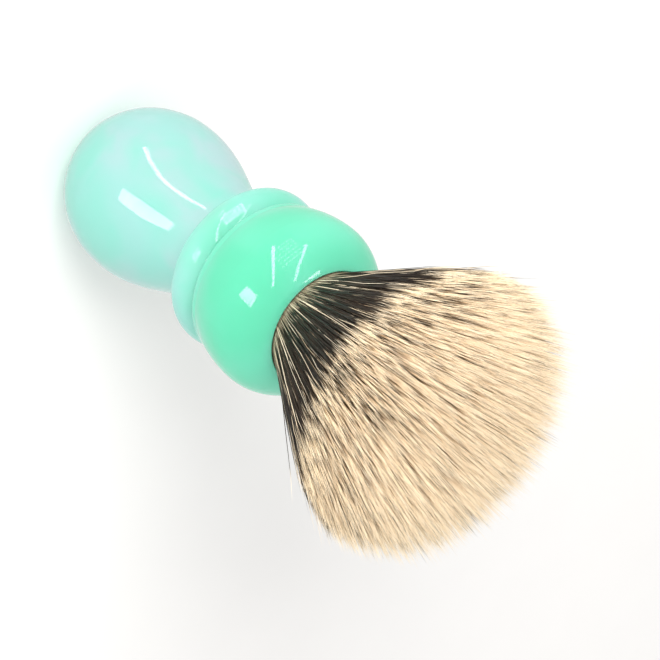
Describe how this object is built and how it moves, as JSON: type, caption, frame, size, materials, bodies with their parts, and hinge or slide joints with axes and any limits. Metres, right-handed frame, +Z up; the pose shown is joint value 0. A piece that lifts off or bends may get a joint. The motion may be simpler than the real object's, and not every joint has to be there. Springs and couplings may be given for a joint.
{
  "type": "shaving brush",
  "caption": "Free-standing shaving brush with a turned translucent resin handle, a collar ring and a domed head, and a two-band badger-hair fan that flexes sideways.",
  "frame": {"origin": "centre of the flat base that the brush stands on", "axes": "+Z up the brush's axis from the base to the hair tips; +X and +Y lie in the base plane, with +X along the axis that the hair bends about"},
  "size_m": [0.0584, 0.0584, 0.1244],
  "materials": {
    "handle_resin": "polished translucent cast resin, mint at the head fading to a pearly pale aqua with soft lavender clouds at the bulb",
    "clear_adhesive": "clear, slightly amber set adhesive",
    "plug_resin": "amber moulding resin, hair ends showing in it",
    "thread": "waxed natural thread",
    "hair_root": "grey-tan badger hair near the root",
    "hair_dark": "brown-black middle band of badger hair",
    "hair_cream": "soft cream badger hair tips with brown flecks between the locks"
  },
  "bodies": {
    "handle_body": {"handle": "handle_resin", "adhesive_bed": "clear_adhesive", "knot_plug": "plug_resin", "binding_thread": "thread", "hair_roots": "hair_root", "hair_bend_zone": "hair_root"},
    "hair_fan": {"hair_dark_band": "hair_dark", "hair_cream_tips": "hair_cream"}
  },
  "joints": [
    {"name": "knot_bend", "type": "hinge", "parent": "handle_body", "child": "hair_fan", "pos_m": [0, 0, 0.076], "axis": [1, 0, 0], "range_deg": [-25, 25], "stiffness_Nm_per_rad": 0.15, "deforming": ["hair_bend_zone"]}
  ]
}
